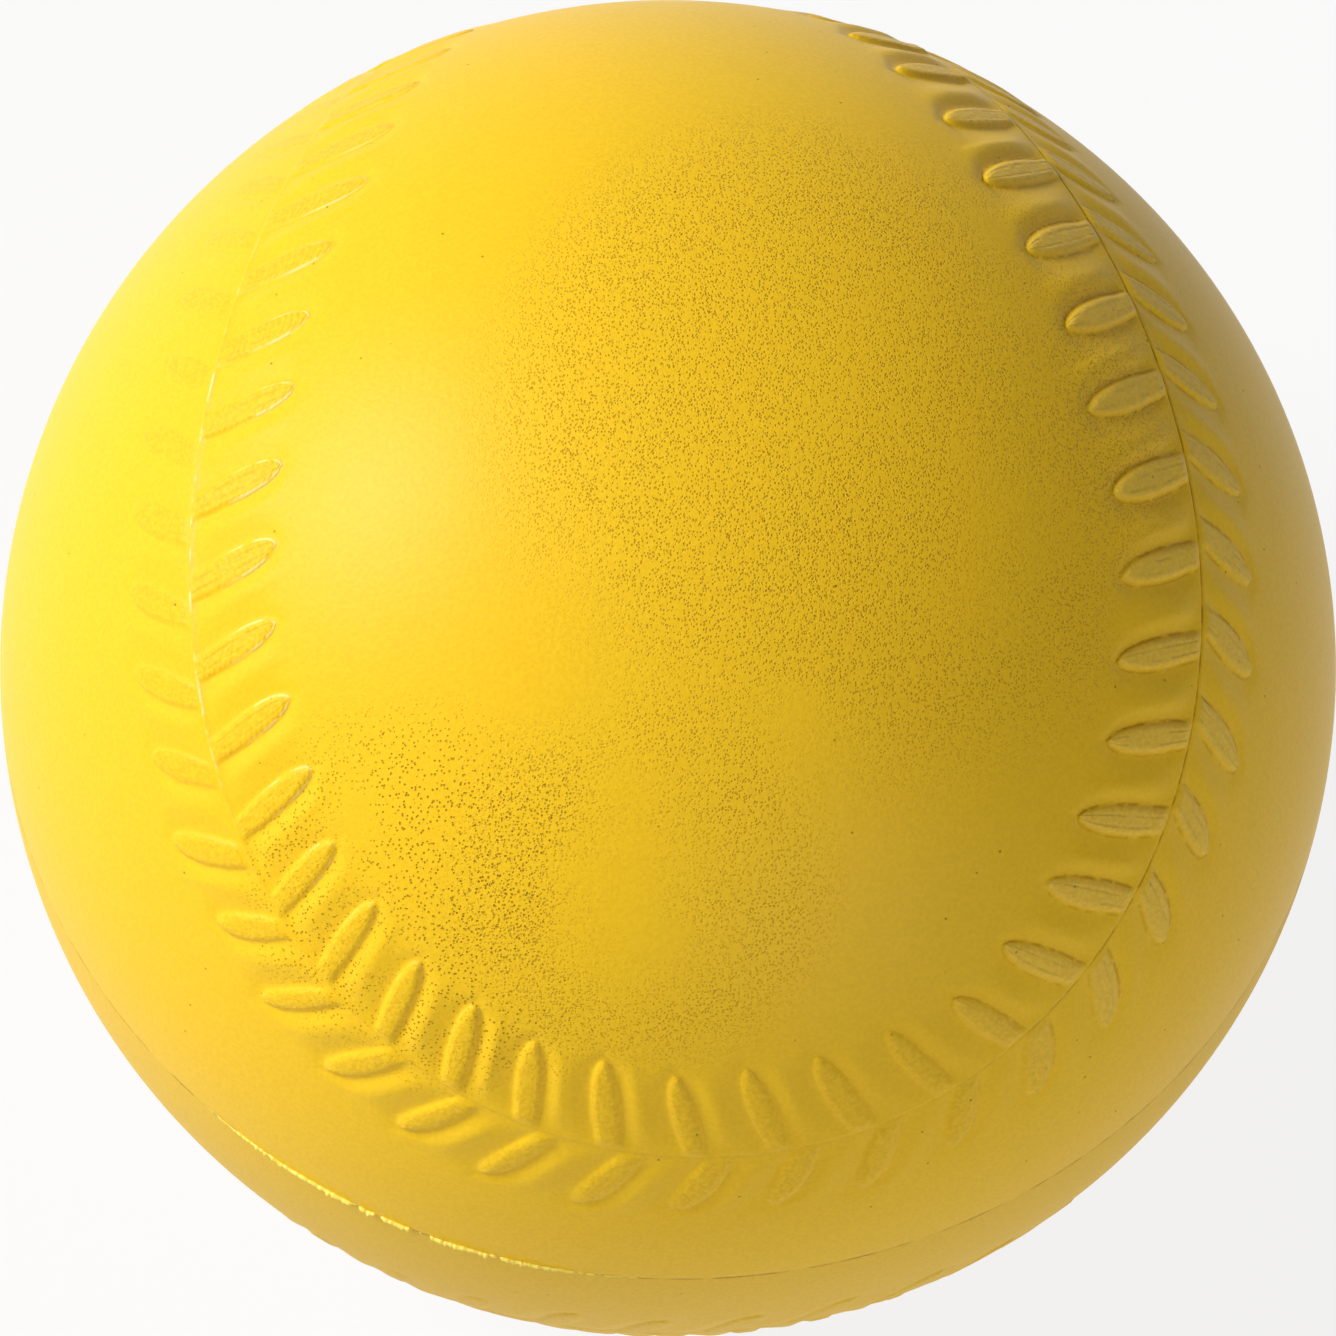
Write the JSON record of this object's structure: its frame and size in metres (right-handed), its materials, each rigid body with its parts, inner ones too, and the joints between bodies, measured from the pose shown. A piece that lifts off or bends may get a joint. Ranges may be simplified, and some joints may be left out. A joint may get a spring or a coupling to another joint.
{
  "type": "softball",
  "caption": "Moulded foam softball: a dense yellow skin with the stitched seam raised on it as relief, round a cellular foam core.",
  "frame": {"origin": "centre of the ball", "axes": "+Z along the way the mould opens, so the parting line lies in the XY plane; +Y through the waist of the panel whose lobe faces +Z, which is the axis of the seam's half-turn symmetry"},
  "size_m": [0.0976, 0.0976, 0.097],
  "materials": {
    "upper_skin": "satin yellow self-skinned polyurethane foam with fine pin-holes",
    "lower_skin": "slightly duller yellow self-skinned polyurethane foam",
    "flash": "torn edge of yellow polyurethane skin",
    "foam": "open matt cellular polyurethane foam"
  },
  "bodies": {
    "root": {"foam_core": "foam", "upper_skin": "upper_skin", "lower_skin": "lower_skin", "parting_flash": "flash"}
  },
  "joints": []
}
